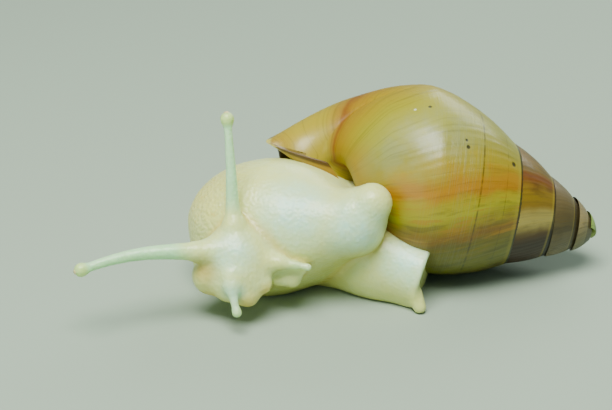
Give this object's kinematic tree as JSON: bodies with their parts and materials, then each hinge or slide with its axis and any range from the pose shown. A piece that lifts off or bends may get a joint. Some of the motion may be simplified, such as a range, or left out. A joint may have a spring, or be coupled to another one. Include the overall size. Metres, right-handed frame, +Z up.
{
  "type": "giant african land snail",
  "caption": "Pale giant land snail lying on the flank of its long conical banded shell, body leaning out, head turned aside, feelers spread and tail pressed flat.",
  "frame": {"origin": "middle of the underside, on the floor", "axes": "+X along the shell towards its apex, -Y the side the head faces, +Z up from the floor"},
  "size_m": [0.089, 0.0452, 0.0335],
  "materials": {
    "flesh": "wet, pale cream, slightly translucent skin with a fine net of grooves",
    "eye": "wet and glossy, unpigmented amber spot",
    "shell": "glossy amber and brown shell with darker streaks along the growth lines"
  },
  "bodies": {
    "root": {"head": "flesh", "neck": "flesh", "trunk": "flesh", "mantle_fold": "flesh", "mantle_collar": "flesh", "foot_front": "flesh", "foot_middle": "flesh", "tail_base": "flesh", "tail_tip": "flesh", "tentacle_upper_left_base": "flesh", "tentacle_upper_left_tip": "flesh", "tentacle_upper_right_base": "flesh", "tentacle_upper_right_tip": "flesh", "tentacle_lower_left": "flesh", "tentacle_lower_right": "flesh", "eye_left": "eye", "eye_right": "eye", "shell_spire": "shell", "shell_body_whorl": "shell"}
  },
  "joints": []
}
